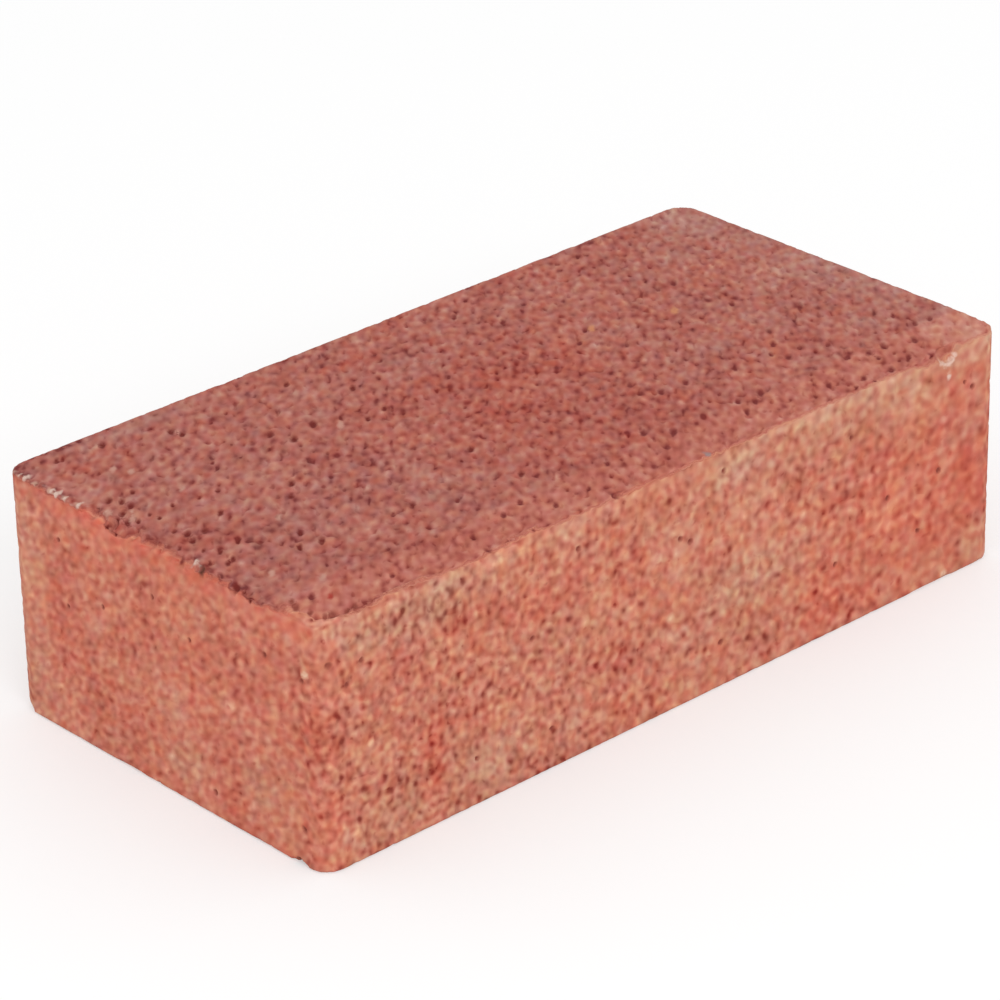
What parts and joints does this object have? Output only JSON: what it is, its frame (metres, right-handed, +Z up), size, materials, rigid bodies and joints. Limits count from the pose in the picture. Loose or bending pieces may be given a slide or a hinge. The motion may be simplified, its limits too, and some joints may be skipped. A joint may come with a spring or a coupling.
{
  "type": "paving stone",
  "caption": "Rectangular red concrete paving stone with rounded upright corners, a rolled and slightly crumbled top edge and an open-grained face.",
  "frame": {"origin": "middle of the bed face, on the ground", "axes": "+X along the length, +Y across the width, +Z up through the thickness to the wearing face"},
  "size_m": [0.2, 0.1, 0.057],
  "materials": {
    "red_concrete": "matte"
  },
  "bodies": {
    "root": {"paving_stone": "red_concrete"}
  },
  "joints": []
}
